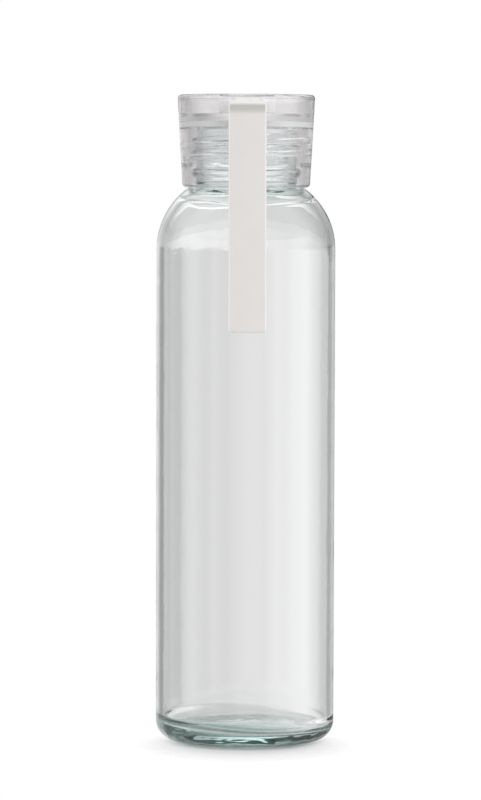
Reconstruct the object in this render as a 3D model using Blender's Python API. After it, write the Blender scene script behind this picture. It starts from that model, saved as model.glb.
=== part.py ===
"""Glass bottle with a clear screw cap and a soft carrying strap.

Metres, +Z up. The origin is on the bottle's axis, on the surface that the bottle stands on, and the
strap hangs on the -Y side. Every round piece is turned from an outline of (radius, height) points.
"""

import math

import bmesh
import bpy
from mathutils import Matrix, Vector

# Glass body
BODY_DIAMETER = 0.062
SHOULDER_HEIGHT = 0.1705
SHOULDER_RADIUS = 0.0262
WALL = 0.00257
BASE_THICKNESS = 0.0047
HEEL_RADIUS = 0.0065
INNER_HEEL_RADIUS = 0.0044
FOOT_WIDTH = 0.002
PUNT_DEPTH = 0.0008
FLOOR_DOME = 0.0005
THROAT_ROUNDING = 0.0025
punt_flat_share = 0.5

# Glass neck
NECK_DIAMETER = 0.035
NECK_WALL = 0.0022
BORE_DIAMETER = NECK_DIAMETER - 2 * NECK_WALL
NECK_FILLET = 0.0015
BEAD_RISE = 0.0014
BEAD_HEIGHT = 0.0034
BEAD_PROUD = 0.0013
THREAD_RISE = 0.0016
LIP_LAND = 0.0011
lip_rounding_share = 0.4

# Screw thread, six turns to the inch
THREAD_PITCH = 0.0254 / 6
THREAD_DEPTH = 0.0012
THREAD_ROOT = 0.0023
THREAD_CREST = 0.001
THREAD_TURNS = 2.0
THREAD_RUN_OUT = math.radians(36)
THREAD_AXIAL_GAP = 0.00035
THREAD_RADIAL_GAP = 0.00045
CAP_THREAD_TURNS = 1.5
CAP_THREAD_DELAY = math.radians(180)
EMBED = 0.0004

# Gap between pieces that touch
CLEARANCE = 0.0003

# Seal ring
SEAL_THICKNESS = 0.0018
SEAL_OVERHANG = 0.0007
SEAL_CHAMFER = 0.0003

# Cap
SKIRT_WALL = 0.0025
CAP_FLARE = 0.0017
BEAD_CLEARANCE = 0.0008
MOUTH_FLARE = 0.0009
MOUTH_FLARE_HEIGHT = 0.0012
SHOULDER_GAP = 0.0004
SPIGOT_WALL = 0.0011
SPIGOT_HEIGHT = 0.0017
CAP_FLOOR = 0.0024
HEAD_WALL = 0.0032
LEDGE_WIDTH = 0.0009
LEDGE_THICKNESS = 0.0006
SLOT_SILL = 0.0003
TOP_ROUNDING = 0.0013
RIB_WALL = 0.0022
LID_THICKNESS = 0.0012
LID_CHAMFER = 0.0002
bottom_rounding_share = 0.9

# Strap
STRAP_WIDTH = 0.0128
STRAP_THICKNESS = 0.00125
STRAP_FOLD_GAP = 0.0011
STRAP_LENGTH = 0.0776
STRAP_BEVEL = 0.0003
TUNNEL_LENGTH = 0.0065
ANCHOR_DEPTH = 0.004

# How finely the round shapes are divided
SEGMENTS = 60
THREAD_STEPS = 48
FOLD_STEPS = 8

# Glass, worked out from the sizes above
body_radius = BODY_DIAMETER / 2
inner_radius = body_radius - WALL
neck_radius = NECK_DIAMETER / 2
bore_radius = BORE_DIAMETER / 2
shoulder_centre = Vector((body_radius - SHOULDER_RADIUS, SHOULDER_HEIGHT))


def height_over_shoulder(reach, radius):
    """Height of the point at this radius whose distance from the shoulder's centre is the reach."""
    return SHOULDER_HEIGHT + math.sqrt(reach**2 - (radius - shoulder_centre.x) ** 2)


neck_base = height_over_shoulder(SHOULDER_RADIUS + NECK_FILLET, neck_radius + NECK_FILLET)
bead_base = neck_base + BEAD_RISE
bead_top = bead_base + BEAD_HEIGHT
thread_start = bead_top + THREAD_RISE + THREAD_ROOT / 2
lip_height = thread_start + THREAD_TURNS * THREAD_PITCH + THREAD_ROOT / 2 + LIP_LAND

# Cap, worked out from the glass that it screws onto
cap_thread_drop = (
    (THREAD_ROOT + THREAD_CREST) / 2
    - (THREAD_ROOT - THREAD_CREST) * THREAD_RADIAL_GAP / THREAD_DEPTH / 2
    + THREAD_AXIAL_GAP
)
cap_bore = neck_radius + THREAD_DEPTH + THREAD_RADIAL_GAP
relief_radius = neck_radius + BEAD_PROUD + BEAD_CLEARANCE
mouth_radius = relief_radius + MOUTH_FLARE
cap_bottom_radius = relief_radius + SKIRT_WALL
cap_top_radius = cap_bottom_radius + CAP_FLARE
cap_bottom = height_over_shoulder(SHOULDER_RADIUS + SHOULDER_GAP, mouth_radius)
seal_outer_radius = neck_radius + SEAL_OVERHANG
seal_inner_radius = bore_radius - SEAL_OVERHANG
seal_bottom = lip_height + CLEARANCE
seal_top = seal_bottom + SEAL_THICKNESS
ceiling = seal_top + CLEARANCE
head_floor = ceiling + CAP_FLOOR

# Strap and the head that holds it
stack_thickness = 2 * STRAP_THICKNESS + STRAP_FOLD_GAP
slot_bottom = head_floor + SLOT_SILL
slot_height = stack_thickness + 2 * CLEARANCE
slot_top = slot_bottom + slot_height
slot_width = STRAP_WIDTH + 2 * CLEARANCE
ledge_height = slot_top + LEDGE_THICKNESS
lid_bottom = ledge_height + CLEARANCE
cap_top = lid_bottom + LID_THICKNESS
head_radius = cap_top_radius - HEAD_WALL
lid_pocket_radius = head_radius + LEDGE_WIDTH
strap_level = slot_bottom + slot_height / 2
rib_end = head_radius - TUNNEL_LENGTH
rib_top = slot_top + CLEARANCE
tunnel_width = slot_width + 2 * CLEARANCE
anchor_width = tunnel_width + 2 * RIB_WALL


def cap_radius_at(height):
    """Outer radius of the cap's cone."""
    share = (height - cap_bottom) / (cap_top - cap_bottom)
    return cap_bottom_radius + share * CAP_FLARE


# The strap bends about a line just outside the slot, and leans on the glass shoulder below it
strap_hinge_reach = cap_top_radius + CLEARANCE + stack_thickness / 2
strap_offset = Vector((strap_hinge_reach, strap_level)) - shoulder_centre
strap_stand_off = SHOULDER_RADIUS + CLEARANCE + stack_thickness / 2
strap_lean = math.atan2(strap_offset.y, strap_offset.x) - math.acos(strap_stand_off / strap_offset.length)


def arc(centre, radius, start, end, steps):
    """Points of an arc in the outline's plane, from the start angle to the end angle, both included."""
    points = []
    for step in range(steps + 1):
        angle = math.radians(start + (end - start) * step / steps)
        points.append((centre[0] + radius * math.cos(angle), centre[1] + radius * math.sin(angle)))
    return points


def mesh_object(name, mesh_builder, location=(0, 0, 0)):
    """A new object with the bmesh's faces turned outwards."""
    bmesh.ops.recalc_face_normals(mesh_builder, faces=mesh_builder.faces)
    mesh = bpy.data.meshes.new(name)
    mesh_builder.to_mesh(mesh)
    mesh_builder.free()
    item = bpy.data.objects.new(name, mesh)
    item.location = location
    bpy.context.collection.objects.link(item)
    return item


def turned(name, outline, height):
    """A piece turned about the bottle's axis, with its origin on the axis at the given height."""
    builder = bmesh.new()
    points = [builder.verts.new((radius, 0, z - height)) for radius, z in outline]
    edges = [builder.edges.new(pair) for pair in zip(points, points[1:])]
    if outline[0][0] > 0:
        edges.append(builder.edges.new((points[-1], points[0])))
    bmesh.ops.spin(
        builder,
        geom=points + edges,
        axis=(0, 0, 1),
        angle=math.tau,
        steps=SEGMENTS,
        use_merge=True,
    )
    bmesh.ops.remove_doubles(builder, verts=builder.verts, dist=CLEARANCE / SEGMENTS)
    return mesh_object(name, builder, (0, 0, height))


def thread_ridge(name, wall_radius, outward, start_angle, start_height, turns, height):
    """A helical ridge on a wall, rising anticlockwise, that sinks into the wall at both ends."""
    builder = bmesh.new()
    steps = round(THREAD_STEPS * turns)
    sections = []
    for step in range(steps + 1):
        travel = turns * math.tau * step / steps
        from_end = min(travel, turns * math.tau - travel)
        rise = min(1, from_end / THREAD_RUN_OUT)
        crest = wall_radius + outward * (rise * (THREAD_DEPTH + EMBED / 2) - EMBED / 2)
        root = wall_radius - outward * EMBED
        level = start_height - height + THREAD_PITCH * travel / math.tau
        corners = (
            (root, -THREAD_ROOT / 2),
            (crest, -THREAD_CREST / 2),
            (crest, THREAD_CREST / 2),
            (root, THREAD_ROOT / 2),
        )
        turn = Matrix.Rotation(start_angle + travel, 4, "Z")
        sections.append([builder.verts.new(turn @ Vector((r, 0, level + z))) for r, z in corners])
    for low, high in zip(sections, sections[1:]):
        for side in range(4):
            after = (side + 1) % 4
            builder.faces.new((low[side], low[after], high[after], high[side]))
    builder.faces.new(sections[0])
    builder.faces.new(sections[-1][::-1])
    return mesh_object(name, builder, (0, 0, height))


def block(name, low, high, origin=(0, 0, 0)):
    """A box between two corners, with its origin at the given point."""
    builder = bmesh.new()
    bmesh.ops.create_cube(builder, size=1)
    size = Vector(high) - Vector(low)
    middle = (Vector(high) + Vector(low)) / 2 - Vector(origin)
    bmesh.ops.scale(builder, vec=size, verts=builder.verts)
    bmesh.ops.translate(builder, vec=middle, verts=builder.verts)
    return mesh_object(name, builder, origin)


def combine(item, other, operation):
    """Joins the other shape to the item, or cuts it out, and hides the other shape as a guide."""
    modifier = item.modifiers.new(other.name, "BOOLEAN")
    modifier.operation = operation
    modifier.solver = "EXACT"
    modifier.object = other
    other.hide_render = True
    other.display_type = "WIRE"


def finish(item, colour, roughness, transmission=0.0):
    """The piece's own material, and smooth shading except over its sharp edges."""
    material = bpy.data.materials.new(item.name)
    material.use_nodes = True
    shader = material.node_tree.nodes["Principled BSDF"]
    shader.inputs["Base Color"].default_value = (*colour, 1)
    shader.inputs["Metallic"].default_value = 0
    shader.inputs["Roughness"].default_value = roughness
    shader.inputs["Transmission Weight"].default_value = transmission
    item.data.materials.append(material)
    item.data.shade_smooth()
    item.data.set_sharp_from_angle(angle=math.radians(35))


def shoulder_angle(point):
    """Direction of a point from the shoulder's centre, in degrees."""
    return math.degrees(math.atan2(point[1] - shoulder_centre.y, point[0] - shoulder_centre.x))


def glass_outline():
    """From the middle of the underside, up the outside, over the lip and down the inside."""
    foot_outer = body_radius - HEEL_RADIUS
    foot_inner = foot_outer - FOOT_WIDTH
    points = [(0, PUNT_DEPTH), (foot_inner * punt_flat_share, PUNT_DEPTH), (foot_inner, 0)]
    points += arc((foot_outer, HEEL_RADIUS), HEEL_RADIUS, -90, 0, 6)

    fillet_centre = (neck_radius + NECK_FILLET, neck_base)
    meeting = shoulder_angle(fillet_centre)
    points += arc(shoulder_centre, SHOULDER_RADIUS, 0, meeting, 10)
    points += arc(fillet_centre, NECK_FILLET, meeting - 180, -180, 3)[1:]

    bead_radius = ((BEAD_HEIGHT / 2) ** 2 + BEAD_PROUD**2) / (2 * BEAD_PROUD)
    bead_angle = math.degrees(math.asin(BEAD_HEIGHT / 2 / bead_radius))
    bead_centre = (neck_radius + BEAD_PROUD - bead_radius, (bead_base + bead_top) / 2)
    points += arc(bead_centre, bead_radius, -bead_angle, bead_angle, 6)

    lip_rounding = (neck_radius - bore_radius) * lip_rounding_share
    points += arc((neck_radius - lip_rounding, lip_height - lip_rounding), lip_rounding, 0, 90, 3)
    points += arc((bore_radius + lip_rounding, lip_height - lip_rounding), lip_rounding, 90, 180, 3)

    inner_shoulder = SHOULDER_RADIUS - WALL
    throat_radius = bore_radius + THROAT_ROUNDING
    throat_centre = (throat_radius, height_over_shoulder(inner_shoulder + THROAT_ROUNDING, throat_radius))
    meeting = shoulder_angle(throat_centre)
    points += arc(throat_centre, THROAT_ROUNDING, 180, 180 + meeting, 3)
    points += arc(shoulder_centre, inner_shoulder, meeting, 0, 8)[1:]
    heel_centre = (inner_radius - INNER_HEEL_RADIUS, BASE_THICKNESS + INNER_HEEL_RADIUS)
    points += arc(heel_centre, INNER_HEEL_RADIUS, 0, -90, 5)
    points.append((0, BASE_THICKNESS + FLOOR_DOME))
    return points


def make_glass():
    """Blown bottle: heavy base with a shallow punt, round shoulder, and a threaded neck with a bead."""
    bottle = turned("glass_bottle", glass_outline(), 0)
    ridge = thread_ridge("glass_thread", neck_radius, 1, 0, thread_start, THREAD_TURNS, 0)
    combine(bottle, ridge, "UNION")
    finish(bottle, (0.86, 0.93, 0.90), 0.02, 1.0)


def cap_outline():
    """From the middle of the ceiling, down the bore, up the outside and over into the open head."""
    pocket_radius = seal_outer_radius + CLEARANCE
    spigot_outer = seal_inner_radius - CLEARANCE
    spigot_inner = spigot_outer - SPIGOT_WALL
    spigot_end = ceiling - SPIGOT_HEIGHT
    rounding = (SKIRT_WALL - MOUTH_FLARE) * bottom_rounding_share
    slope = math.degrees(math.atan2(CAP_FLARE, cap_top - cap_bottom))
    step = cap_bore - pocket_radius
    points = [(0, ceiling), (spigot_inner, ceiling), (spigot_inner, spigot_end)]
    points += [(spigot_outer, spigot_end), (spigot_outer, ceiling), (pocket_radius, ceiling)]
    points += [(pocket_radius, seal_bottom), (cap_bore, seal_bottom - step)]
    points += [(cap_bore, bead_top + BEAD_RISE), (relief_radius, bead_top)]
    points += [(relief_radius, cap_bottom + MOUTH_FLARE_HEIGHT), (mouth_radius, cap_bottom)]
    bottom_centre = (cap_radius_at(cap_bottom + rounding) - rounding, cap_bottom + rounding)
    points += arc(bottom_centre, rounding, -90, -slope, 4)
    top_centre = (cap_radius_at(cap_top - TOP_ROUNDING) - TOP_ROUNDING, cap_top - TOP_ROUNDING)
    points += arc(top_centre, TOP_ROUNDING, -slope, 90, 4)
    points += [(lid_pocket_radius, cap_top), (lid_pocket_radius, ledge_height)]
    points += [(head_radius, ledge_height), (head_radius, head_floor), (0, head_floor)]
    return points


def make_cap():
    """Clear moulded cap: threaded skirt, floor with a ring that locates the seal, and a hollow head.

    The strap passes through a slot in the head, between two ribs. A third rib stands behind its anchor.
    """
    cap = turned("cap_shell", cap_outline(), ceiling)
    ridge = thread_ridge(
        "cap_thread",
        cap_bore,
        -1,
        CAP_THREAD_DELAY,
        thread_start + THREAD_PITCH * CAP_THREAD_DELAY / math.tau - cap_thread_drop,
        CAP_THREAD_TURNS,
        ceiling,
    )
    combine(cap, ridge, "UNION")
    rib_low = head_floor - EMBED
    rib_front = math.sqrt(head_radius**2 - (anchor_width / 2) ** 2) + EMBED
    for side, label in ((-1, "left"), (1, "right")):
        near = side * tunnel_width / 2
        far = side * anchor_width / 2
        low = (min(near, far), -rib_front, rib_low)
        high = (max(near, far), -rib_end, rib_top)
        combine(cap, block("rib_" + label, low, high), "UNION")
    stop_front = rib_end - ANCHOR_DEPTH - 2 * CLEARANCE
    stop_low = (-anchor_width / 2, -stop_front, rib_low)
    stop_high = (anchor_width / 2, RIB_WALL - stop_front, rib_top)
    combine(cap, block("rib_back", stop_low, stop_high), "UNION")
    slot_low = (-slot_width / 2, -cap_top_radius - HEAD_WALL, slot_bottom)
    slot_high = (slot_width / 2, EMBED - rib_front, slot_top)
    combine(cap, block("slot", slot_low, slot_high), "DIFFERENCE")
    finish(cap, (0.93, 0.94, 0.95), 0.05, 0.9)


def make_lid():
    """Clear disc that closes the head, set flush into the cap's rim."""
    radius = lid_pocket_radius - CLEARANCE
    outline = [(0, lid_bottom), (radius - LID_CHAMFER, lid_bottom), (radius, lid_bottom + LID_CHAMFER)]
    outline += [(radius, cap_top - LID_CHAMFER), (radius - LID_CHAMFER, cap_top), (0, cap_top)]
    finish(turned("cap_lid", outline, lid_bottom), (0.93, 0.94, 0.95), 0.05, 0.9)


def make_seal():
    """Milky silicone washer between the glass lip and the cap's ceiling."""
    inner = seal_inner_radius
    outer = seal_outer_radius
    chamfer = SEAL_CHAMFER
    outline = [(inner + chamfer, seal_bottom), (outer - chamfer, seal_bottom)]
    outline += [(outer, seal_bottom + chamfer), (outer, seal_top - chamfer)]
    outline += [(outer - chamfer, seal_top), (inner + chamfer, seal_top)]
    outline += [(inner, seal_top - chamfer), (inner, seal_bottom + chamfer)]
    finish(turned("seal_ring", outline, seal_bottom), (0.86, 0.87, 0.87), 0.45)


def make_anchor():
    """The strap's two ends, moulded into one thick block that the slot is too small to let out."""
    anchor_front = rib_end - CLEARANCE
    anchor_back = anchor_front - ANCHOR_DEPTH
    origin = (0, -strap_hinge_reach, strap_level)
    low = (-anchor_width / 2, -anchor_front, head_floor + CLEARANCE)
    high = (anchor_width / 2, -anchor_back, ledge_height)
    anchor = block("strap_anchor", low, high, origin)
    half = stack_thickness / 2
    tongue_low = (-STRAP_WIDTH / 2, -cap_top_radius, strap_level - half)
    tongue_high = (STRAP_WIDTH / 2, EMBED - anchor_front, strap_level + half)
    combine(anchor, block("strap_tongue", tongue_low, tongue_high), "UNION")
    finish(anchor, (0.84, 0.83, 0.81), 0.5)


def make_loop():
    """The strap outside the slot: one soft band folded into a long narrow loop, hanging from its bend."""
    half = stack_thickness / 2
    slit = STRAP_FOLD_GAP / 2
    drop = STRAP_LENGTH - half
    outer = arc((0, 0), half, 0, 180, FOLD_STEPS) + arc((0, -drop), half, 180, 360, FOLD_STEPS)
    inner = arc((0, 0), slit, 0, 180, FOLD_STEPS) + arc((0, -drop), slit, 180, 360, FOLD_STEPS)
    builder = bmesh.new()
    rings = []
    for x in (-STRAP_WIDTH / 2, STRAP_WIDTH / 2):
        for outline in (outer, inner):
            rings.append([builder.verts.new((x, y, z)) for y, z in outline])
    left_outer, left_inner, right_outer, right_inner = rings
    pairs = (
        (left_outer, left_inner),
        (left_inner, right_inner),
        (right_inner, right_outer),
        (right_outer, left_outer),
    )
    for first, second in pairs:
        for index in range(len(first)):
            after = (index + 1) % len(first)
            builder.faces.new((first[index], first[after], second[after], second[index]))
    loop = mesh_object("strap_loop", builder, (0, -strap_hinge_reach, strap_level))
    loop.rotation_euler.x = -strap_lean
    bevel = loop.modifiers.new("rounded_edges", "BEVEL")
    bevel.width = STRAP_BEVEL
    bevel.segments = 2
    bevel.limit_method = "ANGLE"
    bevel.angle_limit = math.radians(50)
    finish(loop, (0.84, 0.83, 0.81), 0.5)


for item in list(bpy.data.objects):
    bpy.data.objects.remove(item)

make_glass()
make_cap()
make_lid()
make_seal()
make_anchor()
make_loop()
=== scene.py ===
import math

import bmesh
import bpy
import numpy as np
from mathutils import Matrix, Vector, noise


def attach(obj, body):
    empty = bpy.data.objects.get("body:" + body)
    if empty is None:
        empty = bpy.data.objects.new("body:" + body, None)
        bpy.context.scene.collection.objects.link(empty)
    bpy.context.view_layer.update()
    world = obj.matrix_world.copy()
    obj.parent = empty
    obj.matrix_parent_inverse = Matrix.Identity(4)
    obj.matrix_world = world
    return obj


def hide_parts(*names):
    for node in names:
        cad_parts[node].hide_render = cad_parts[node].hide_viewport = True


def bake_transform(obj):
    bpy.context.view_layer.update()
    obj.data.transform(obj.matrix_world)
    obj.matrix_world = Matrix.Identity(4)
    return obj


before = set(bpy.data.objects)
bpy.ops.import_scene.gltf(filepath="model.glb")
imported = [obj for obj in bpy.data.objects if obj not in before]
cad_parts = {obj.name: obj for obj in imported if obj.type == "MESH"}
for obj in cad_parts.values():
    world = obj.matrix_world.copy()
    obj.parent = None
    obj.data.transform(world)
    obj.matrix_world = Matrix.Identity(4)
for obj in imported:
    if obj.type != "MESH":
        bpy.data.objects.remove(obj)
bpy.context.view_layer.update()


# Glass bottle. One piece of clear soda-lime glass, blown in a mould: a heavy base pushed up inside
# its foot ring, a straight body, a round shoulder, and a neck with a bead and two turns of screw
# thread. It stands on its foot ring, and its faint green shows most where the glass is thick.
BODY_RADIUS = 0.031
GLASS_WALL = 0.00257
SHOULDER_HEIGHT = 0.1705
SHOULDER_RADIUS = 0.0262
BASE_THICKNESS = 0.0047
FLOOR_DOME = 0.0005
FLOOR_SHIFT = 0.0022
FLOOR_SHIFT_RADIUS = 0.02
FLOOR_RINGS = 16
RIPPLE_HEIGHT = 0.00025
RIPPLES_A_METRE = (130, 330)
RIPPLE_RADIUS = 0.025
RIPPLE_FADE = 0.004
RIPPLE_BELOW = 0.0001
RIPPLE_ABOVE = 0.0012
SETTLE_HEIGHT = 0.1865
SETTLE_WIDTH = 0.0005
SETTLE_DEPTH = 0.00012
SETTLE_WANDER = 0.0006
HEEL_RADIUS = 0.0065
INNER_HEEL_RADIUS = 0.0044
FOOT_WIDTH = 0.002
PUNT_DEPTH = 0.0008
NECK_RADIUS = 0.0175
BORE_RADIUS = 0.0153
NECK_FILLET = 0.0015
THROAT_ROUNDING = 0.0025
BEAD_BOTTOM = 0.19568
BEAD_TOP = 0.19908
BEAD_PROUD = 0.0013
THREAD_START = 0.20183
THREAD_PITCH = 0.0254 / 6
THREAD_ROOT = 0.0023
THREAD_CREST = 0.001
THREAD_DEPTH = 0.0012
THREAD_RUN_OUT = math.radians(36)
THREAD_ROWS = 100
LIP_HEIGHT = 0.21255
LIP_ROUNDING = 0.0009
ROUNDING_ERROR = 1e-6
MELT_COLOUR = (0.0, 0.5, 0.42)
MELT_DENSITY = 10
THICK_GLASS_COLOUR = (0.49, 0.69, 0.64)
GREEN_FLOOR_EDGE = (0.0232, 0.0246)
GREEN_FLOOR_TOP = (0.0062, 0.007)
GREEN_FOOT_TOP = (0.002, 0.0036)
GREEN_FOOT_SHARE = 0.35
GREEN_NECK_START = (0.1875, 0.1895)
GREEN_NECK_END = (0.192, 0.196)
GREEN_NECK_SHARE = 0.22
GREEN_THREAD_SHARE = 0.05
DIM_WALL_TOP = (0.015, 0.04)
DIM_WALL_RADIUS = (0.0245, 0.0265)
LIGHT_THROUGH_GLASS = (0.93, 0.94, 0.94)
LIGHT_THROUGH_DIM_WALL = (0.5, 0.515, 0.515)
DOT_SPACING = 0.0014
DOT_EDGE = (0.15, 0.42)
DOTS_TOP = (0.0004, 0.0016)
GLASS_WAVE_SHARE = 0.35
GLASS_BUMP = 0.00012
USUAL_NOISE = (0.3, 0.7)
shoulder_centre = (BODY_RADIUS - SHOULDER_RADIUS, SHOULDER_HEIGHT)
inner_radius = BODY_RADIUS - GLASS_WALL


def arc(centre, radius, start, end, steps):
    """Points of an arc in the outline's plane, from a start to an end angle in degrees."""
    angles = [math.radians(start + (end - start) * step / steps) for step in range(steps + 1)]
    return [(centre[0] + radius * math.cos(a), centre[1] + radius * math.sin(a)) for a in angles]


def over_shoulder(reach, radius):
    """The point at this radius and this reach from the shoulder's centre, and its angle."""
    across = radius - shoulder_centre[0]
    up = math.sqrt(reach**2 - across**2)
    return (radius, shoulder_centre[1] + up), math.degrees(math.atan2(up, across))


def held_straight(outline, gap=0.0003):
    """Adds a point near both ends of each long straight stretch, so that it is shaded straight."""
    points = [outline[0]]
    for here, there in zip(outline, outline[1:]):
        length = math.dist(here, there)
        if length > 6 * gap:
            for share in (gap / length, 1 - gap / length):
                points.append(tuple(a + (b - a) * share for a, b in zip(here, there)))
        points.append(there)
    return points


def thread_relief(angles, height, start_angle, start_height, turns):
    """How far a helical ridge with rounded flanks stands up from its wall, at one height."""
    proud = np.zeros_like(angles)
    for lap in range(math.ceil(turns) + 1):
        travel = (angles - start_angle) % math.tau + lap * math.tau
        off = np.abs(height - start_height - THREAD_PITCH * travel / math.tau)
        flank = np.clip((THREAD_ROOT / 2 - off) / (THREAD_ROOT - THREAD_CREST) * 2, 0, 1)
        end = np.clip(np.minimum(travel, turns * math.tau - travel) / THREAD_RUN_OUT, 0, 1)
        ridge = flank**2 * (3 - 2 * flank) * end**2 * (3 - 2 * end)
        proud = np.maximum(proud, THREAD_DEPTH * ridge)
    return proud


def placed(name, mesh):
    """The mesh as an object in the scene."""
    item = bpy.data.objects.new(name, mesh)
    bpy.context.collection.objects.link(item)
    return item


def turned(name, outline, relief=None, segments=256):
    """A piece turned about the axis. An outline that starts off the axis closes on itself."""
    angles = np.arange(segments) * math.tau / segments
    points, rings = [], []
    for radius, height in outline:
        if radius == 0:
            rings.append([len(points)] * segments)
            points.append((0, 0, height))
            continue
        rings.append(list(range(len(points), len(points) + segments)))
        reach = np.full(segments, radius) + (relief(angles, radius, height) if relief else 0)
        points += [(r * math.cos(a), r * math.sin(a), height) for r, a in zip(reach, angles)]
    pairs = list(zip(rings, rings[1:]))
    if outline[0][0] > 0:
        pairs.append((rings[-1], rings[0]))
    faces = []
    for low, high in pairs:
        for side in range(segments):
            after = (side + 1) % segments
            corners = (low[side], low[after], high[after], high[side])
            faces.append(list(dict.fromkeys(corners)))
    mesh = bpy.data.meshes.new(name)
    mesh.from_pydata(points, [], faces)
    builder = bmesh.new()
    builder.from_mesh(mesh)
    bmesh.ops.recalc_face_normals(builder, faces=builder.faces)
    builder.to_mesh(mesh)
    builder.free()
    mesh.shade_smooth()
    return placed(name, mesh)


def node(material, kind, **settings):
    """A new node in the material, with the given settings."""
    new = material.node_tree.nodes.new(kind)
    for key, value in settings.items():
        setattr(new, key, value)
    return new


def new_material(name, colour, roughness, **values):
    """A Principled material with plain values on its sockets."""
    material = bpy.data.materials.new(name)
    material.use_nodes = True
    shader = material.node_tree.nodes["Principled BSDF"]
    shader.inputs["Base Color"].default_value = (*colour, 1)
    shader.inputs["Roughness"].default_value = roughness
    for key, value in values.items():
        shader.inputs[key.replace("_", " ")].default_value = value
    return material, shader


def wire(material, value, socket):
    """Gives the socket a value: another socket's, or a plain number, vector or colour."""
    if isinstance(value, bpy.types.NodeSocket):
        material.node_tree.links.new(value, socket)
    elif socket.type == "RGBA":
        socket.default_value = (*value, 1)
    else:
        socket.default_value = value


def calculate(material, operation, *values):
    """The result of a Math node on sockets or numbers."""
    new = node(material, "ShaderNodeMath", operation=operation)
    for value, socket in zip(values, new.inputs):
        wire(material, value, socket)
    return new.outputs[0]


def fade(material, value, start, end, low=0.0, high=1.0):
    """Goes smoothly from low to high as the value goes from start to end."""
    new = node(material, "ShaderNodeMapRange", interpolation_type="SMOOTHSTEP")
    for place, setting in enumerate((value, start, end, low, high)):
        wire(material, setting, new.inputs[place])
    return new.outputs[0]


def mix_colours(material, share, first, second):
    """The first colour where the share is 0, and the second where it is 1."""
    new = node(material, "ShaderNodeMix", data_type="RGBA")
    for value, place in ((share, 0), (first, 6), (second, 7)):
        wire(material, value, new.inputs[place])
    return new.outputs[2]


def raised(material, shader, height, depth):
    """Bumps the surface: where the height is 1 it stands the depth above where it is 0."""
    bump = node(material, "ShaderNodeBump")
    bump.inputs["Distance"].default_value = depth
    wire(material, height, bump.inputs["Height"])
    wire(material, bump.outputs[0], shader.inputs["Normal"])


def part_clear(material, shader, share, colour=(1, 1, 1)):
    """Shows the shader where the share is 0, and lets light of the colour pass where it is 1."""
    clear = node(material, "ShaderNodeBsdfTransparent")
    wire(material, colour, clear.inputs["Color"])
    blend = node(material, "ShaderNodeMixShader")
    for value, socket in zip((share, shader.outputs[0], clear.outputs[0]), blend.inputs):
        wire(material, value, socket)
    surface = material.node_tree.nodes["Material Output"].inputs["Surface"]
    wire(material, blend.outputs[0], surface)


def let_light_through(material, shader, colour):
    """Lets plain light reach what stands behind a clear piece, with a little of it held back."""
    path = node(material, "ShaderNodeLightPath").outputs
    soft = calculate(material, "MAXIMUM", path["Is Shadow Ray"], path["Is Diffuse Ray"])
    part_clear(material, shader, soft, colour)


def uneven_skin():
    """A group with the soft waves and fine grain of a moulded or blown skin, and its level."""
    group = bpy.data.node_groups.new("uneven_skin", "ShaderNodeTree")
    inputs = {"Wave Size": 0.01, "Grain Size": 0.0003, "Grain Share": 0.3, "Low": 0.0, "High": 1.0}
    for name, value in inputs.items():
        socket = group.interface.new_socket(name, in_out="INPUT", socket_type="NodeSocketFloat")
        socket.default_value = value
    for name in ("Height", "Level"):
        group.interface.new_socket(name, in_out="OUTPUT", socket_type="NodeSocketFloat")
    given = group.nodes.new("NodeGroupInput")
    result = group.nodes.new("NodeGroupOutput")
    place = group.nodes.new("ShaderNodeTexCoord")

    def cloud(size, detail):
        texture = group.nodes.new("ShaderNodeTexNoise")
        texture.inputs["Detail"].default_value = detail
        texture.inputs["Roughness"].default_value = 0.5
        scale = group.nodes.new("ShaderNodeMath")
        scale.operation = "DIVIDE"
        scale.inputs[0].default_value = 1
        group.links.new(given.outputs[size], scale.inputs[1])
        group.links.new(scale.outputs[0], texture.inputs["Scale"])
        group.links.new(place.outputs["Object"], texture.inputs["Vector"])
        return texture.outputs[0]

    height = group.nodes.new("ShaderNodeMix")
    group.links.new(given.outputs["Grain Share"], height.inputs[0])
    group.links.new(cloud("Wave Size", 1.0), height.inputs[2])
    group.links.new(cloud("Grain Size", 2.0), height.inputs[3])
    group.links.new(height.outputs[0], result.inputs["Height"])
    level = group.nodes.new("ShaderNodeMapRange")
    level.inputs["From Min"].default_value = USUAL_NOISE[0]
    level.inputs["From Max"].default_value = USUAL_NOISE[1]
    group.links.new(height.outputs[0], level.inputs["Value"])
    group.links.new(given.outputs["Low"], level.inputs["To Min"])
    group.links.new(given.outputs["High"], level.inputs["To Max"])
    group.links.new(level.outputs[0], result.inputs["Level"])


def skin(material, **values):
    """The height and the level of the uneven skin, in one material with its own values."""
    new = node(material, "ShaderNodeGroup", node_tree=bpy.data.node_groups["uneven_skin"])
    for key, value in values.items():
        new.inputs[key.replace("_", " ")].default_value = value
    return new.outputs["Height"], new.outputs["Level"]


def places(material, kind="Object"):
    """The x, y and z of a point on the piece, in metres, or of a direction in the studio."""
    where = node(material, "ShaderNodeTexCoord")
    split = node(material, "ShaderNodeSeparateXYZ")
    wire(material, where.outputs[kind], split.inputs[0])
    return split.outputs


def distance(material, x, y):
    """How far a point is from an upright axis."""
    squares = [calculate(material, "MULTIPLY", place, place) for place in (x, y)]
    return calculate(material, "POWER", calculate(material, "ADD", *squares), 0.5)


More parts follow.
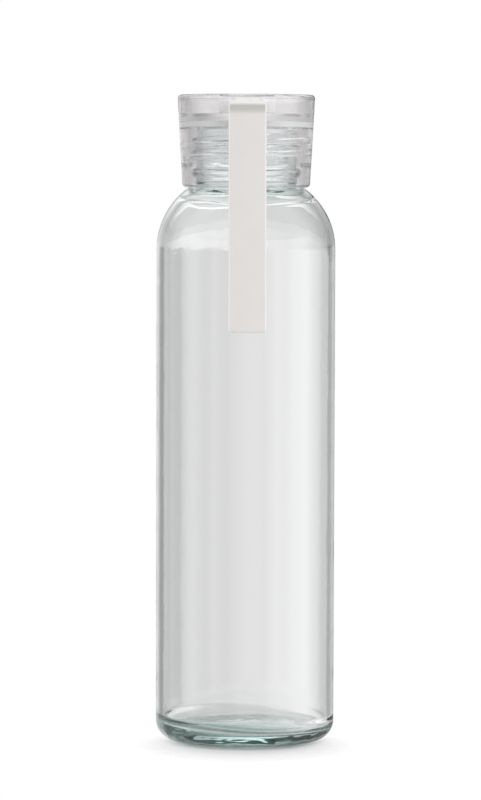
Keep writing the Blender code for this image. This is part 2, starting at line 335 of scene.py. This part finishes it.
def glass_outer():
    """Up the outside, from the middle of the underside to the top of the lip."""
    foot_outer = BODY_RADIUS - HEEL_RADIUS
    foot_inner = foot_outer - FOOT_WIDTH
    points = [(0, PUNT_DEPTH), (foot_inner / 2, PUNT_DEPTH), (foot_inner, 0)]
    points += arc((foot_outer, HEEL_RADIUS), HEEL_RADIUS, -90, 0, 20)
    fillet, meeting = over_shoulder(SHOULDER_RADIUS + NECK_FILLET, NECK_RADIUS + NECK_FILLET)
    points += arc(shoulder_centre, SHOULDER_RADIUS, 0, meeting, 40)
    points += arc(fillet, NECK_FILLET, meeting - 180, -180, 6)[1:]
    half = (BEAD_TOP - BEAD_BOTTOM) / 2
    bead_radius = (half**2 + BEAD_PROUD**2) / (2 * BEAD_PROUD)
    bead_angle = math.degrees(math.asin(half / bead_radius))
    bead_centre = (NECK_RADIUS + BEAD_PROUD - bead_radius, BEAD_BOTTOM + half)
    points += arc(bead_centre, bead_radius, -bead_angle, bead_angle, 12)
    low, high = BEAD_TOP + THREAD_CREST / 4, LIP_HEIGHT - LIP_ROUNDING
    points += [(NECK_RADIUS, low + (high - low) * row / THREAD_ROWS) for row in range(THREAD_ROWS)]
    points += arc((NECK_RADIUS - LIP_ROUNDING, high), LIP_ROUNDING, 0, 90, 8)
    return points


def glass_inner():
    """Down the inside, from the top of the lip to the middle of the floor."""
    points = arc((BORE_RADIUS + LIP_ROUNDING, LIP_HEIGHT - LIP_ROUNDING), LIP_ROUNDING, 90, 180, 8)
    throat, meeting = over_shoulder(
        SHOULDER_RADIUS - GLASS_WALL + THROAT_ROUNDING, BORE_RADIUS + THROAT_ROUNDING
    )
    points += arc(throat, THROAT_ROUNDING, 180, 180 + meeting, 8)
    points += arc(shoulder_centre, SHOULDER_RADIUS - GLASS_WALL, meeting, 30, 60)[1:]
    points += arc(shoulder_centre, SHOULDER_RADIUS - GLASS_WALL, 30, 0, 20)[1:]
    heel = (inner_radius - INNER_HEEL_RADIUS, BASE_THICKNESS + INNER_HEEL_RADIUS)
    points += arc(heel, INNER_HEEL_RADIUS, 0, -90, 16)
    for ring in range(1, FLOOR_RINGS + 1):
        out = 1 - ring / FLOOR_RINGS
        points.append((heel[0] * out, BASE_THICKNESS + FLOOR_DOME * (1 - out**2)))
    return points


def glass_relief(angles, radius, height):
    """The thread outside; inside, a settle wave in the shoulder and a base thicker on one side."""
    if radius >= NECK_RADIUS and height > BEAD_TOP:
        return thread_relief(angles, height, 0, THREAD_START, 2)
    if math.dist((radius, height), shoulder_centre) < SHOULDER_RADIUS - GLASS_WALL / 2:
        wander = SETTLE_WANDER * (np.sin(2 * angles + 1) + 0.5 * np.sin(5 * angles))
        wave = np.exp(-(((height - SETTLE_HEIGHT - wander) / SETTLE_WIDTH) ** 2))
        return -SETTLE_DEPTH * wave * (1 + 0.4 * np.sin(3 * angles + 2))
    heel_top = BASE_THICKNESS + INNER_HEEL_RADIUS
    in_base = BASE_THICKNESS - ROUNDING_ERROR < height < heel_top
    if in_base and radius <= inner_radius + ROUNDING_ERROR:
        rise = min((heel_top - height) / INNER_HEEL_RADIUS, 1)
        centre = min(radius / FLOOR_SHIFT_RADIUS, 1)
        return FLOOR_SHIFT * rise**2 * (3 - 2 * rise) * centre * np.cos(angles)
    return 0


bottle = turned("clear_glass_bottle", held_straight(glass_outer() + glass_inner()), glass_relief)
for point in bottle.data.vertices:
    reach = math.hypot(point.co.x, point.co.y)
    on_floor = -RIPPLE_BELOW < point.co.z - BASE_THICKNESS < RIPPLE_ABOVE
    if on_floor and reach < RIPPLE_RADIUS:
        wide, narrow = (point.co * ripples for ripples in RIPPLES_A_METRE)
        ripple = noise.noise(wide) + 0.5 * noise.noise(narrow + Vector((7, 3, 1)))
        point.co.z += RIPPLE_HEIGHT * ripple * min((RIPPLE_RADIUS - reach) / RIPPLE_FADE, 1)

uneven_skin()
glass, shader = new_material("soda_lime_glass", (1, 1, 1), 0.0, Transmission_Weight=1, IOR=1.52)
x, y, z = places(glass)
across = distance(glass, x, y)
wave, smear = skin(glass, Wave_Size=0.009, Grain_Size=0.002, Grain_Share=0.15, Low=0.0, High=0.02)
neck_start = fade(glass, z, *GREEN_NECK_START)
neck_end = fade(glass, z, *GREEN_NECK_END, GREEN_NECK_SHARE, GREEN_THREAD_SHARE)
neck = calculate(glass, "MULTIPLY", neck_start, neck_end)
floor_edge = fade(glass, across, *GREEN_FLOOR_EDGE, 1, 0)
floor_top = fade(glass, z, *GREEN_FLOOR_TOP, 1, 0)
floor_part = calculate(glass, "MULTIPLY", floor_edge, floor_top)
foot_part = fade(glass, z, *GREEN_FOOT_TOP, GREEN_FOOT_SHARE, 0)
thick = calculate(glass, "MAXIMUM", calculate(glass, "MAXIMUM", floor_part, foot_part), neck)
colour = mix_colours(glass, thick, (1, 1, 1), THICK_GLASS_COLOUR)
wire(glass, colour, shader.inputs["Base Color"])
wire(glass, smear, shader.inputs["Roughness"])
dots = node(glass, "ShaderNodeTexVoronoi")
dots.inputs["Scale"].default_value = 1 / DOT_SPACING
dot = fade(glass, dots.outputs["Distance"], *DOT_EDGE, 1, 0)
dot = calculate(glass, "MULTIPLY", dot, fade(glass, z, *DOTS_TOP, 1, 0))
wave = calculate(glass, "MULTIPLY", wave, GLASS_WAVE_SHARE)
raised(glass, shader, calculate(glass, "ADD", wave, dot), GLASS_BUMP)
melt = node(glass, "ShaderNodeVolumeAbsorption")
wire(glass, MELT_COLOUR, melt.inputs["Color"])
wire(glass, MELT_DENSITY, melt.inputs["Density"])
wire(glass, melt.outputs[0], glass.node_tree.nodes["Material Output"].inputs["Volume"])
wall_top = fade(glass, z, *DIM_WALL_TOP, 1, 0)
dim_wall = calculate(glass, "MULTIPLY", wall_top, fade(glass, across, *DIM_WALL_RADIUS))
passing = mix_colours(glass, dim_wall, LIGHT_THROUGH_GLASS, LIGHT_THROUGH_DIM_WALL)
let_light_through(glass, shader, passing)
bottle.data.materials.append(glass)
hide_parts("glass_bottle")
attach(bottle, "bottle")


# Seal. A milky silicone washer, moulded flat with rounded edges. It lies under the cap's ceiling
# round the locating ring, and the glass lip presses into it when the cap is screwed down.
SEAL_INNER = 0.0146
SEAL_OUTER = 0.01855
SEAL_BOTTOM = 0.21285
SEAL_TOP = 0.21493
SEAL_ROUNDING = 0.0003
SEAL_DARKER = (0.6, 0.602, 0.6)
SEAL_PALER = (0.69, 0.692, 0.69)
SEAL_BUMP = 0.00005


def rounded(corners, steps=6):
    """Outline through the corners, each (radius, height, rounding of that corner)."""
    points = []
    for number, (across, up, rounding) in enumerate(corners):
        here = Vector((across, up))
        if not rounding:
            points.append((across, up))
            continue
        back = (Vector(corners[number - 1][:2]) - here).normalized()
        on = (Vector(corners[(number + 1) % len(corners)][:2]) - here).normalized()
        half = back.angle(on) / 2
        middle = here + (back + on).normalized() * rounding / math.sin(half)
        start = here + back * rounding / math.tan(half) - middle
        end = here + on * rounding / math.tan(half) - middle
        first = math.degrees(math.atan2(start.y, start.x))
        turn = math.degrees(math.atan2(end.y, end.x)) - first
        turn = (turn + 180) % 360 - 180
        points += arc(middle, rounding, first, first + turn, steps)
    return points


seal_corners = [
    (SEAL_INNER, SEAL_BOTTOM, SEAL_ROUNDING),
    (SEAL_OUTER, SEAL_BOTTOM, SEAL_ROUNDING),
    (SEAL_OUTER, SEAL_TOP, SEAL_ROUNDING),
    (SEAL_INNER, SEAL_TOP, SEAL_ROUNDING),
]
seal = turned("silicone_seal", held_straight(rounded(seal_corners), 0.0002))
silicone, shader = new_material("milky_silicone", (0.86, 0.87, 0.87), 0.4)
grain, level = skin(
    silicone, Wave_Size=0.006, Grain_Size=0.0004, Grain_Share=0.4, Low=0.35, High=0.5
)
colour = mix_colours(silicone, grain, SEAL_DARKER, SEAL_PALER)
wire(silicone, colour, shader.inputs["Base Color"])
wire(silicone, level, shader.inputs["Roughness"])
raised(silicone, shader, grain, SEAL_BUMP)
seal.data.materials.append(silicone)
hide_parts("seal_ring")
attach(seal, "seal")


# Cap. Clear plastic, moulded in one shot: a tapered skirt with a turn and a half of thread inside,
# a floor with a ring that locates the seal, and a hollow head with a slot for the strap and ribs
# beside and behind the strap's end. It screws down until the seal meets the lip.
CAP_BOTTOM = 0.19197
CAP_TOP = 0.22395
CAP_BOTTOM_RADIUS = 0.0221
CAP_TOP_RADIUS = 0.0238
CAP_BORE = 0.01915
RELIEF_RADIUS = 0.0196
MOUTH_RADIUS = 0.0205
MOUTH_FLARE_HEIGHT = 0.0012
SKIRT_ROUNDING = 0.0014
TOP_ROUNDING = 0.0013
CEILING = 0.21495
HEAD_FLOOR = 0.21735
HEAD_RADIUS = 0.0206
LEDGE_HEIGHT = 0.22245
LID_POCKET_RADIUS = 0.0215
SEAL_POCKET_RADIUS = 0.0185
SPIGOT_OUTER = 0.0143
SPIGOT_INNER = 0.0132
SPIGOT_BOTTOM = 0.21325
CAP_THREAD_DROP = 0.00176
CAP_THREAD_START = THREAD_START + THREAD_PITCH / 2 - CAP_THREAD_DROP
CAP_THREAD_BOTTOM = BEAD_TOP + 0.0014
SLOT_WIDTH = 0.0134
SLOT_BOTTOM = 0.21765
SLOT_TOP = 0.22185
RIB_TOP = 0.22215
RIB_INNER = 0.007
RIB_OUTER = 0.0092
RIB_END = 0.0141
STOP_FRONT = 0.0095
STOP_BACK = 0.0073
CORNER = 0.0002
JOIN_DEPTH = 0.0004
CUT_BEYOND = 0.001
PLASTIC_DARKER = (0.965, 0.965, 0.975)
PLASTIC_PALER = (1, 1, 1)
LIGHT_THROUGH_PLASTIC = (0.95, 0.95, 0.955)
PLASTIC_BUMP = 0.00006
BORE_HAZE = 0.1
BORE_HAZE_EDGE = (CAP_BORE + 0.0004, CAP_BORE + 0.0016)

bore_top = SEAL_BOTTOM - (CAP_BORE - SEAL_POCKET_RADIUS)
row_height = (CAP_THREAD_BOTTOM - bore_top) / THREAD_ROWS
cap_corners = [
    (0, CEILING, 0),
    (SPIGOT_INNER, CEILING, CORNER),
    (SPIGOT_INNER, SPIGOT_BOTTOM, CORNER),
    (SPIGOT_OUTER, SPIGOT_BOTTOM, CORNER),
    (SPIGOT_OUTER, CEILING, 0),
    (SEAL_POCKET_RADIUS, CEILING, CORNER),
    (SEAL_POCKET_RADIUS, SEAL_BOTTOM, 0),
]
cap_corners += [(CAP_BORE, bore_top + row_height * row, 0) for row in range(THREAD_ROWS + 1)]
cap_corners += [
    (RELIEF_RADIUS, BEAD_TOP, 0),
    (RELIEF_RADIUS, CAP_BOTTOM + MOUTH_FLARE_HEIGHT, CORNER),
    (MOUTH_RADIUS, CAP_BOTTOM, 0),
    (CAP_BOTTOM_RADIUS, CAP_BOTTOM, SKIRT_ROUNDING),
    (CAP_TOP_RADIUS, CAP_TOP, TOP_ROUNDING),
    (LID_POCKET_RADIUS, CAP_TOP, 0),
    (LID_POCKET_RADIUS, LEDGE_HEIGHT, 0),
    (HEAD_RADIUS, LEDGE_HEIGHT, CORNER),
    (HEAD_RADIUS, HEAD_FLOOR, CORNER),
    (0, HEAD_FLOOR, 0),
]


def cap_relief(angles, radius, height):
    """The thread inside the skirt, which stands inwards."""
    if abs(radius - CAP_BORE) > ROUNDING_ERROR or height > bore_top + ROUNDING_ERROR:
        return 0
    return -thread_relief(angles, height, math.pi, CAP_THREAD_START, 1.5)


def block(name, low, high):
    """A box between two corners."""
    builder = bmesh.new()
    bmesh.ops.create_cube(builder, size=1)
    bmesh.ops.scale(builder, vec=Vector(high) - Vector(low), verts=builder.verts)
    bmesh.ops.translate(builder, vec=(Vector(high) + Vector(low)) / 2, verts=builder.verts)
    mesh = bpy.data.meshes.new(name)
    builder.to_mesh(mesh)
    builder.free()
    return placed(name, mesh)


def combine(item, other, operation):
    """Joins the other shape to the item, or cuts it out of the item, for good."""
    modifier = item.modifiers.new(other.name, "BOOLEAN")
    modifier.operation = operation
    modifier.solver = "EXACT"
    modifier.object = other
    bpy.context.view_layer.update()
    made = item.evaluated_get(bpy.context.evaluated_depsgraph_get())
    item.data = bpy.data.meshes.new_from_object(made)
    item.modifiers.clear()
    bpy.data.objects.remove(other)


cap = turned("clear_screw_cap", held_straight(rounded(cap_corners), 0.00025), cap_relief)
rib_front = math.sqrt(HEAD_RADIUS**2 - RIB_OUTER**2) + JOIN_DEPTH
rib_bottom = HEAD_FLOOR - JOIN_DEPTH
for side in (-1, 1):
    near, far = sorted((side * RIB_INNER, side * RIB_OUTER))
    rib = block("rib", (near, -rib_front, rib_bottom), (far, -RIB_END, RIB_TOP))
    combine(cap, rib, "UNION")
stop = block("stop", (-RIB_OUTER, -STOP_FRONT, rib_bottom), (RIB_OUTER, -STOP_BACK, RIB_TOP))
combine(cap, stop, "UNION")
slot_low = (-SLOT_WIDTH / 2, -CAP_TOP_RADIUS - 2 * CUT_BEYOND, SLOT_BOTTOM)
slot_high = (SLOT_WIDTH / 2, JOIN_DEPTH - rib_front, SLOT_TOP)
combine(cap, block("slot", slot_low, slot_high), "DIFFERENCE")
cap.data.shade_smooth()
cap.data.set_sharp_from_angle(angle=math.radians(40))
plastic, shader = new_material(
    "clear_moulded_plastic", (1, 1, 1), 0.05, Transmission_Weight=1, IOR=1.5
)
x, y, _ = places(plastic)
flow, level = skin(
    plastic, Wave_Size=0.005, Grain_Size=0.0008, Grain_Share=0.2, Low=0.02, High=0.09
)
colour = mix_colours(plastic, flow, PLASTIC_DARKER, PLASTIC_PALER)
wire(plastic, colour, shader.inputs["Base Color"])
inside = fade(plastic, distance(plastic, x, y), *BORE_HAZE_EDGE, 1, 0)
haze = calculate(plastic, "MULTIPLY", inside, BORE_HAZE)
wire(plastic, calculate(plastic, "MAXIMUM", level, haze), shader.inputs["Roughness"])
raised(plastic, shader, flow, PLASTIC_BUMP)
let_light_through(plastic, shader, LIGHT_THROUGH_PLASTIC)
cap.data.materials.clear()
cap.data.materials.append(plastic)
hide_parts("cap_shell")
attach(cap, "cap")


# Lid. A clear disc of the same plastic, moulded flat with rounded edges. It is set flush into the
# cap's rim and welded there, and closes the head over the strap's end.
LID_BOTTOM = 0.22275
LID_RADIUS = 0.0212
LID_EDGE = 0.0002

lid_corners = [
    (0, LID_BOTTOM, 0),
    (LID_RADIUS, LID_BOTTOM, LID_EDGE),
    (LID_RADIUS, CAP_TOP, LID_EDGE),
    (0, CAP_TOP, 0),
]
lid = turned("clear_lid", held_straight(rounded(lid_corners), 0.0002))
lid.data.materials.append(plastic)
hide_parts("cap_lid")
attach(lid, "cap")


# Strap. One moulded band of soft white rubber. Its two ends lie on each other in the slot and are
# moulded into a block behind it that can't come out. It bends down just outside the slot, and hangs
# as a flat loop on the glass shoulder.
STRAP_WIDTH = 0.0128
STRAP_THICKNESS = 0.00125
STRAP_FOLD_GAP = 0.0011
STRAP_LENGTH = 0.0774
STRAP_EDGE = 0.0004
STRAP_LEAN = math.radians(8.69)
HINGE_REACH = 0.0259
STRAP_LEVEL = 0.21975
ANCHOR_FRONT = 0.0138
ANCHOR_BACK = 0.0098
ANCHOR_BOTTOM = 0.21765
INNER_BEND = 0.0009
BEND_BULGE = 0.00045
BULGE_LENGTH = 0.0036
BULGE_ROUNDING = 0.006
OUTER_BEND_SHARE = 0.8
FOLD_SHARE = 0.98
BEND_STEPS = 12
BAND_EDGE_STEPS = 4
GROOVE_WIDTH = 0.0016
GROOVE_DEPTH = 0.0006
BLOCK_EDGE = 0.00025
RUBBER_DARKER = (0.665, 0.642, 0.62)
RUBBER_PALER = (0.73, 0.706, 0.684)
RUBBER_BUMP = 0.00004
# Painted highlight: a paler colour along both long edges of the band and along the top of its bend
# in front, where light would catch them.
PAINTED_HIGHLIGHT_COLOUR = (0.82, 0.8, 0.78)
EDGE_HIGHLIGHT_FROM = (STRAP_WIDTH / 2 - 0.0006, STRAP_WIDTH / 2 - 0.0002)
BEND_HIGHLIGHT_ABOVE = (0.2204, 0.2209)
BEND_HIGHLIGHT_BEFORE = (-0.0262, -0.0268)
# Painted shade: a darker band across the strap just below its bend.
PAINTED_SHADE_COLOUR = (0.5, 0.485, 0.47)
BEND_SHADE_BOTTOM = (0.2165, 0.219)
BEND_SHADE_TOP = (0.2198, 0.2206)
# Painted light: the strap's end inside the cap and its block are made paler, as if better lit.
PAINTED_LIGHT_INSIDE_COLOUR = (0.97, 0.96, 0.95)
PAINTED_LIGHT_BEHIND = (-0.0245, -0.022)

middle_gap = (STRAP_THICKNESS + STRAP_FOLD_GAP) / 2
down = Vector((-math.sin(STRAP_LEAN), -math.cos(STRAP_LEAN)))
out = Vector((-math.cos(STRAP_LEAN), math.sin(STRAP_LEAN)))
hinge = Vector((-HINGE_REACH, STRAP_LEVEL))
foot = hinge + down * (STRAP_LENGTH - STRAP_FOLD_GAP / 2 - STRAP_THICKNESS)


def crossing(level, through):
    """Where a leg that runs through a point meets a level."""
    return through + down * ((level - through.y) / down.y)


upper = STRAP_LEVEL + middle_gap
lower = STRAP_LEVEL - middle_gap
front_top = crossing(upper, hinge + out * (middle_gap + BEND_BULGE))
below_bulge = crossing(upper - BULGE_LENGTH, hinge + out * middle_gap)
rear_top = crossing(lower, hinge - out * middle_gap)
front_foot = foot + out * middle_gap + down * middle_gap
rear_foot = foot - out * middle_gap + down * middle_gap
path = rounded(
    [
        (-ANCHOR_FRONT, upper, 0),
        (*front_top, middle_gap * OUTER_BEND_SHARE),
        (*below_bulge, BULGE_ROUNDING),
        (*front_foot, middle_gap * FOLD_SHARE),
        (*rear_foot, middle_gap * FOLD_SHARE),
        (*rear_top, INNER_BEND),
        (-ANCHOR_FRONT, lower, 0),
    ],
    BEND_STEPS,
)


def band(name, path, width, thickness, edge):
    """A flat band with rounded edges along a path of (y, z) points."""
    section = rounded(
        [
            (width / 2, thickness / 2, edge),
            (-width / 2, thickness / 2, edge),
            (-width / 2, -thickness / 2, edge),
            (width / 2, -thickness / 2, edge),
        ],
        BAND_EDGE_STEPS,
    )
    builder = bmesh.new()
    rings = []
    for number, point in enumerate(path):
        before = Vector(path[max(number - 1, 0)])
        after = Vector(path[min(number + 1, len(path) - 1)])
        along = (after - before).normalized()
        across = Vector((-along.y, along.x))
        rings.append(
            [builder.verts.new((x, *(Vector(point) + across * t))) for x, t in section]
        )
    for low, high in zip(rings, rings[1:]):
        for side in range(len(section)):
            after = (side + 1) % len(section)
            builder.faces.new((low[side], low[after], high[after], high[side]))
    builder.faces.new(rings[0])
    builder.faces.new(rings[-1][::-1])
    bmesh.ops.recalc_face_normals(builder, faces=builder.faces)
    mesh = bpy.data.meshes.new(name)
    builder.to_mesh(mesh)
    builder.free()
    mesh.shade_smooth()
    mesh.set_sharp_from_angle(angle=math.radians(60))
    return placed(name, mesh)


strap = band("soft_strap", held_straight(path), STRAP_WIDTH, STRAP_THICKNESS, STRAP_EDGE)
block_low = (-RIB_OUTER, -ANCHOR_FRONT, ANCHOR_BOTTOM)
anchor_block = block("strap_end_block", block_low, (RIB_OUTER, -ANCHOR_BACK, LEDGE_HEIGHT))
for side in (-1, 1):
    middle = side * RIB_OUTER / 2
    low = (middle - GROOVE_WIDTH / 2, -ANCHOR_FRONT - CUT_BEYOND, LEDGE_HEIGHT - GROOVE_DEPTH)
    high = (middle + GROOVE_WIDTH / 2, 0, LEDGE_HEIGHT + CUT_BEYOND)
    combine(anchor_block, block("groove", low, high), "DIFFERENCE")
builder = bmesh.new()
builder.from_mesh(anchor_block.data)
rims = builder.edges[:] + builder.verts[:]
bmesh.ops.bevel(
    builder, geom=rims, offset=BLOCK_EDGE, segments=3, profile=0.5, affect="EDGES"
)
builder.to_mesh(anchor_block.data)
builder.free()
anchor_block.data.shade_smooth()
anchor_block.data.set_sharp_from_angle(angle=math.radians(50))

rubber, shader = new_material("soft_white_rubber", (0.735, 0.712, 0.69), 0.5)
x, y, z = places(rubber)
grain, level = skin(
    rubber, Wave_Size=0.007, Grain_Size=0.00035, Grain_Share=0.45, Low=0.45, High=0.62
)
colour = mix_colours(rubber, grain, RUBBER_DARKER, RUBBER_PALER)
# Painted shade in a band just below the bend.
bend_shade_bottom = fade(rubber, z, *BEND_SHADE_BOTTOM)
bend_shade_top = fade(rubber, z, *BEND_SHADE_TOP, 1, 0)
painted_bend_shade = calculate(rubber, "MULTIPLY", bend_shade_bottom, bend_shade_top)
colour = mix_colours(rubber, painted_bend_shade, colour, PAINTED_SHADE_COLOUR)
# Painted highlight along both edges of the band and on the top of its bend in front.
edge = fade(rubber, calculate(rubber, "ABSOLUTE", x), *EDGE_HIGHLIGHT_FROM)
above_bend = fade(rubber, z, *BEND_HIGHLIGHT_ABOVE)
bend_highlight = calculate(rubber, "MULTIPLY", above_bend, fade(rubber, y, *BEND_HIGHLIGHT_BEFORE))
painted_highlight = calculate(rubber, "MAXIMUM", edge, bend_highlight)
colour = mix_colours(rubber, painted_highlight, colour, PAINTED_HIGHLIGHT_COLOUR)
# Painted light: what lies inside the cap is made paler.
inside = fade(rubber, y, *PAINTED_LIGHT_BEHIND)
colour = mix_colours(rubber, inside, colour, PAINTED_LIGHT_INSIDE_COLOUR)
wire(rubber, colour, shader.inputs["Base Color"])
wire(rubber, level, shader.inputs["Roughness"])
raised(rubber, shader, grain, RUBBER_BUMP)
strap.data.materials.append(rubber)
anchor_block.data.materials.append(rubber)
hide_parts("strap_loop")
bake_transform(strap)
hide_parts("strap_anchor")
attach(anchor_block, "cap")


# Floor. A pale matt sheet that the bottle stands on. It fades out round a place at the front of the
# foot, so that only the soft shadow there is seen.
FLOOR_RADIUS = 0.2
FLOOR_FADE = (0.016, 0.038)
SHADOW_FORWARD = 0.018
FLOOR_DARKER = (0.91, 0.91, 0.91)
FLOOR_PALER = (0.95, 0.95, 0.95)

floor_mesh = bpy.data.meshes.new("floor")
builder = bmesh.new()
bmesh.ops.create_circle(builder, cap_ends=True, radius=FLOOR_RADIUS, segments=96)
builder.to_mesh(floor_mesh)
builder.free()
floor = placed("floor", floor_mesh)
pale, shader = new_material("pale_floor", (0.92, 0.92, 0.92), 1.0, Specular_IOR_Level=0)
x, y, _ = places(pale)
grain, _ = skin(pale, Wave_Size=0.03, Grain_Size=0.001, Grain_Share=0.3)
colour = mix_colours(pale, grain, FLOOR_DARKER, FLOOR_PALER)
wire(pale, colour, shader.inputs["Base Color"])
from_shadow = distance(pale, x, calculate(pale, "ADD", y, SHADOW_FORWARD))
part_clear(pale, shader, fade(pale, from_shadow, *FLOOR_FADE))
floor_mesh.materials.append(pale)


# Studio. Bands of pale paper one above the other, a lamp over them and a table below, which the
# clear pieces let through, and soft boxes, which they reflect. Soft pieces get plain light. Lists
# go by azimuth, with 0 straight behind the bottle and 90 at its right, unless they name x or z.
PAPER_LOW = (
    (-45, 0.7), (-36, 0.35), (-26, 0.4), (-17, 0.66), (-12, 0.7), (-8, 0.64), (-6.1, 0.58),
    (-5.6, 0.67), (-4.5, 0.735), (0, 0.775), (4, 0.865), (9, 0.865), (13, 0.79), (19, 0.68),
    (27, 0.4), (36, 0.4), (45, 0.7),
)
PAPER_MIDDLE = (
    (-45, 0.6), (-36, 0.35), (-26, 0.45), (-15, 0.8), (-8, 0.93), (-3, 0.92), (0, 0.88), (4, 0.83),
    (9, 0.83), (14, 0.74), (20, 0.58), (28, 0.3), (38, 0.25), (45, 0.6),
)
PAPER_HIGH = (
    (-45, 0.42), (-40, 0.5), (-30, 0.52), (-24, 0.56), (-14, 0.7), (-8, 0.79), (-3, 0.81),
    (0, 0.81), (4, 0.79), (8, 0.77), (14, 0.7), (24, 0.54), (31, 0.4), (36, 0.34), (45, 0.4),
)
PAPER_TOP = (
    (-45, 0.5), (-20, 0.56), (-8, 0.7), (0, 0.75), (4, 0.72), (12, 0.64), (30, 0.42), (45, 0.5),
)
PAPER_LAMP = (
    (-45, 0.4), (-24, 0.5), (-12, 1.15), (0, 1.35), (8, 1.25), (20, 0.6), (45, 0.4),
)
ABOVE_PAPER = (
    (-45, 0.3), (-24, 0.4), (-12, 0.85), (0, 1.0), (8, 0.95), (20, 0.5), (45, 0.25),
)
PAPER_EDGES = (-0.0215, 0.005, 0.022, 0.12)
PAPER_END = 0.4
PAPER_COLOUR = (1.025, 1.0, 1.008)
TABLE_BY_X = ((-1, 0.65), (-0.2, 0.6), (0, 0.65), (0.05, 1.0), (0.3, 1.05), (1, 0.85))
TABLE_EDGE = (-0.4, -0.21)
BOXES_LOW = (
    (-180, 0.4), (-160, 0.1), (-154, 0.15), (-150, 0.5), (-143, 0.55), (-131, 0.37),
    (-118, 0.54), (-108, 0.7), (-102, 0.55), (-94, 0.2), (-88, 0.0), (-64, 0.0), (-55, 0.2),
    (-48, 0.35), (-37, 0.2), (-20, 0.9), (0, 0.6), (20, 0.3), (37, 0.4), (64, 0.65), (77, 0.85),
    (83, 1.1), (89, 1.6), (95, 1.9), (118, 2.0), (140, 1.65), (151, 1.5), (156, 0.9), (170, 0.6),
    (180, 0.4),
)
BOXES_MIDDLE = (
    (-180, 1.5), (-118, 1.4), (-110, 0.7), (-104, 0.4), (-88, 0.2), (-70, 0.15), (-56, 0.25),
    (-48, 0.5), (-42, 0.6), (-22, 0.7), (-12, 0.5), (0, 0.3), (12, 0.1), (80, 0.0), (92, 0.4),
    (98, 1.0), (106, 1.7), (112, 2.0), (125, 1.7), (180, 1.5),
)
BOXES_HIGH = (
    (-180, 0.5), (-100, 0.4), (-78, 0.2), (-66, 0.3), (-54, 0.7), (-25, 0.9), (-14, 0.4), (0, 0.2),
    (60, 0.05), (90, 0.2), (140, 0.3), (180, 0.5),
)
BOXES_EDGES = (0.0, 0.25, 0.85, 0.975)
ABOVE_BOXES = 0.1
OVERHEAD_BY_X = ((-1, 2.2), (-0.02, 2.0), (0.05, 1.2), (0.3, 0.6), (1, 0.4))
PLAIN_LIGHT_BY_Z = ((-1, 0.88), (1, 1.12))

world = bpy.data.worlds.new("studio")
bpy.context.scene.world = world
world.use_nodes = True


def levels(place, stops):
    """Brightness along a range of places, as a colour ramp through (place, level) stops."""
    lowest, highest = stops[0][0], stops[-1][0]
    share = node(world, "ShaderNodeMapRange")
    share.inputs["From Min"].default_value = lowest
    share.inputs["From Max"].default_value = highest
    wire(world, place, share.inputs["Value"])
    ramp = node(world, "ShaderNodeValToRGB")
    wire(world, share.outputs[0], ramp.inputs[0])
    elements = ramp.color_ramp.elements
    elements.remove(elements[0])
    elements[0].position = 0
    elements[0].color = (stops[0][1],) * 3 + (1,)
    for at, level in stops[1:]:
        elements.new((at - lowest) / (highest - lowest)).color = (level, level, level, 1)
    return ramp.outputs[0]


def stacked(bands, edges):
    """Bands of light one above the other, each next one from the height of its edge up."""
    light = bands[0]
    for edge, over in zip(edges, bands[1:]):
        light = mix_colours(world, calculate(world, "GREATER_THAN", z, edge), light, over)
    return light


def tinted(light, colour):
    """The light in the colour of what sends it back."""
    new = node(world, "ShaderNodeMix", data_type="RGBA", blend_type="MULTIPLY")
    wire(world, 1.0, new.inputs[0])
    wire(world, light, new.inputs[6])
    wire(world, colour, new.inputs[7])
    return new.outputs[2]


x, y, z = places(world, "Generated")
azimuth = calculate(world, "DEGREES", calculate(world, "ARCTAN2", x, y))
quarter = calculate(world, "WRAP", azimuth, 45, -45)
boxes = [levels(azimuth, box) for box in (BOXES_LOW, BOXES_MIDDLE, BOXES_HIGH)]
boxes += [(ABOVE_BOXES,) * 3, levels(x, OVERHEAD_BY_X)]
boxes = stacked(boxes, BOXES_EDGES)
sheets = (PAPER_LOW, PAPER_MIDDLE, PAPER_HIGH, PAPER_TOP, PAPER_LAMP)
paper = stacked([levels(quarter, sheet) for sheet in sheets], PAPER_EDGES)
paper = mix_colours(world, fade(world, z, *TABLE_EDGE), levels(x, TABLE_BY_X), paper)
paper = stacked([tinted(paper, PAPER_COLOUR), levels(quarter, ABOVE_PAPER)], [PAPER_END])
seen = node(world, "ShaderNodeLightPath").outputs
studio = mix_colours(world, seen["Is Transmission Ray"], boxes, paper)
studio = mix_colours(world, seen["Is Diffuse Ray"], studio, levels(z, PLAIN_LIGHT_BY_Z))
studio = mix_colours(world, seen["Is Camera Ray"], studio, (1, 1, 1))
wire(world, studio, world.node_tree.nodes["Background"].inputs["Color"])


# Camera. A long lens at the height of the neck, a little to the left of the bottle's middle, that
# looks slightly down and leans by a sixth of a degree.
LENS = 169.9
CAMERA_PLACE = (-0.018, -1.31, 0.2015)
CAMERA_AIM = (-0.00175, 0, 0.11815)
CAMERA_LEAN = math.radians(0.17)

camera_data = bpy.data.cameras.new("camera")
camera_data.lens = LENS
camera = bpy.data.objects.new("camera", camera_data)
bpy.context.collection.objects.link(camera)
camera.location = CAMERA_PLACE
aim = Vector(CAMERA_AIM) - camera.location
camera.rotation_euler = aim.to_track_quat("-Z", "Y").to_euler()
camera.rotation_euler.rotate_axis("Z", CAMERA_LEAN)
bpy.context.scene.camera = camera
bpy.context.scene.view_settings.view_transform = "Standard"
# Cap and neck are many clear layers one behind the other, so light may pass more than usual.
bpy.context.scene.cycles.max_bounces = 32
bpy.context.scene.cycles.transmission_bounces = 32
bpy.context.scene.cycles.glossy_bounces = 12
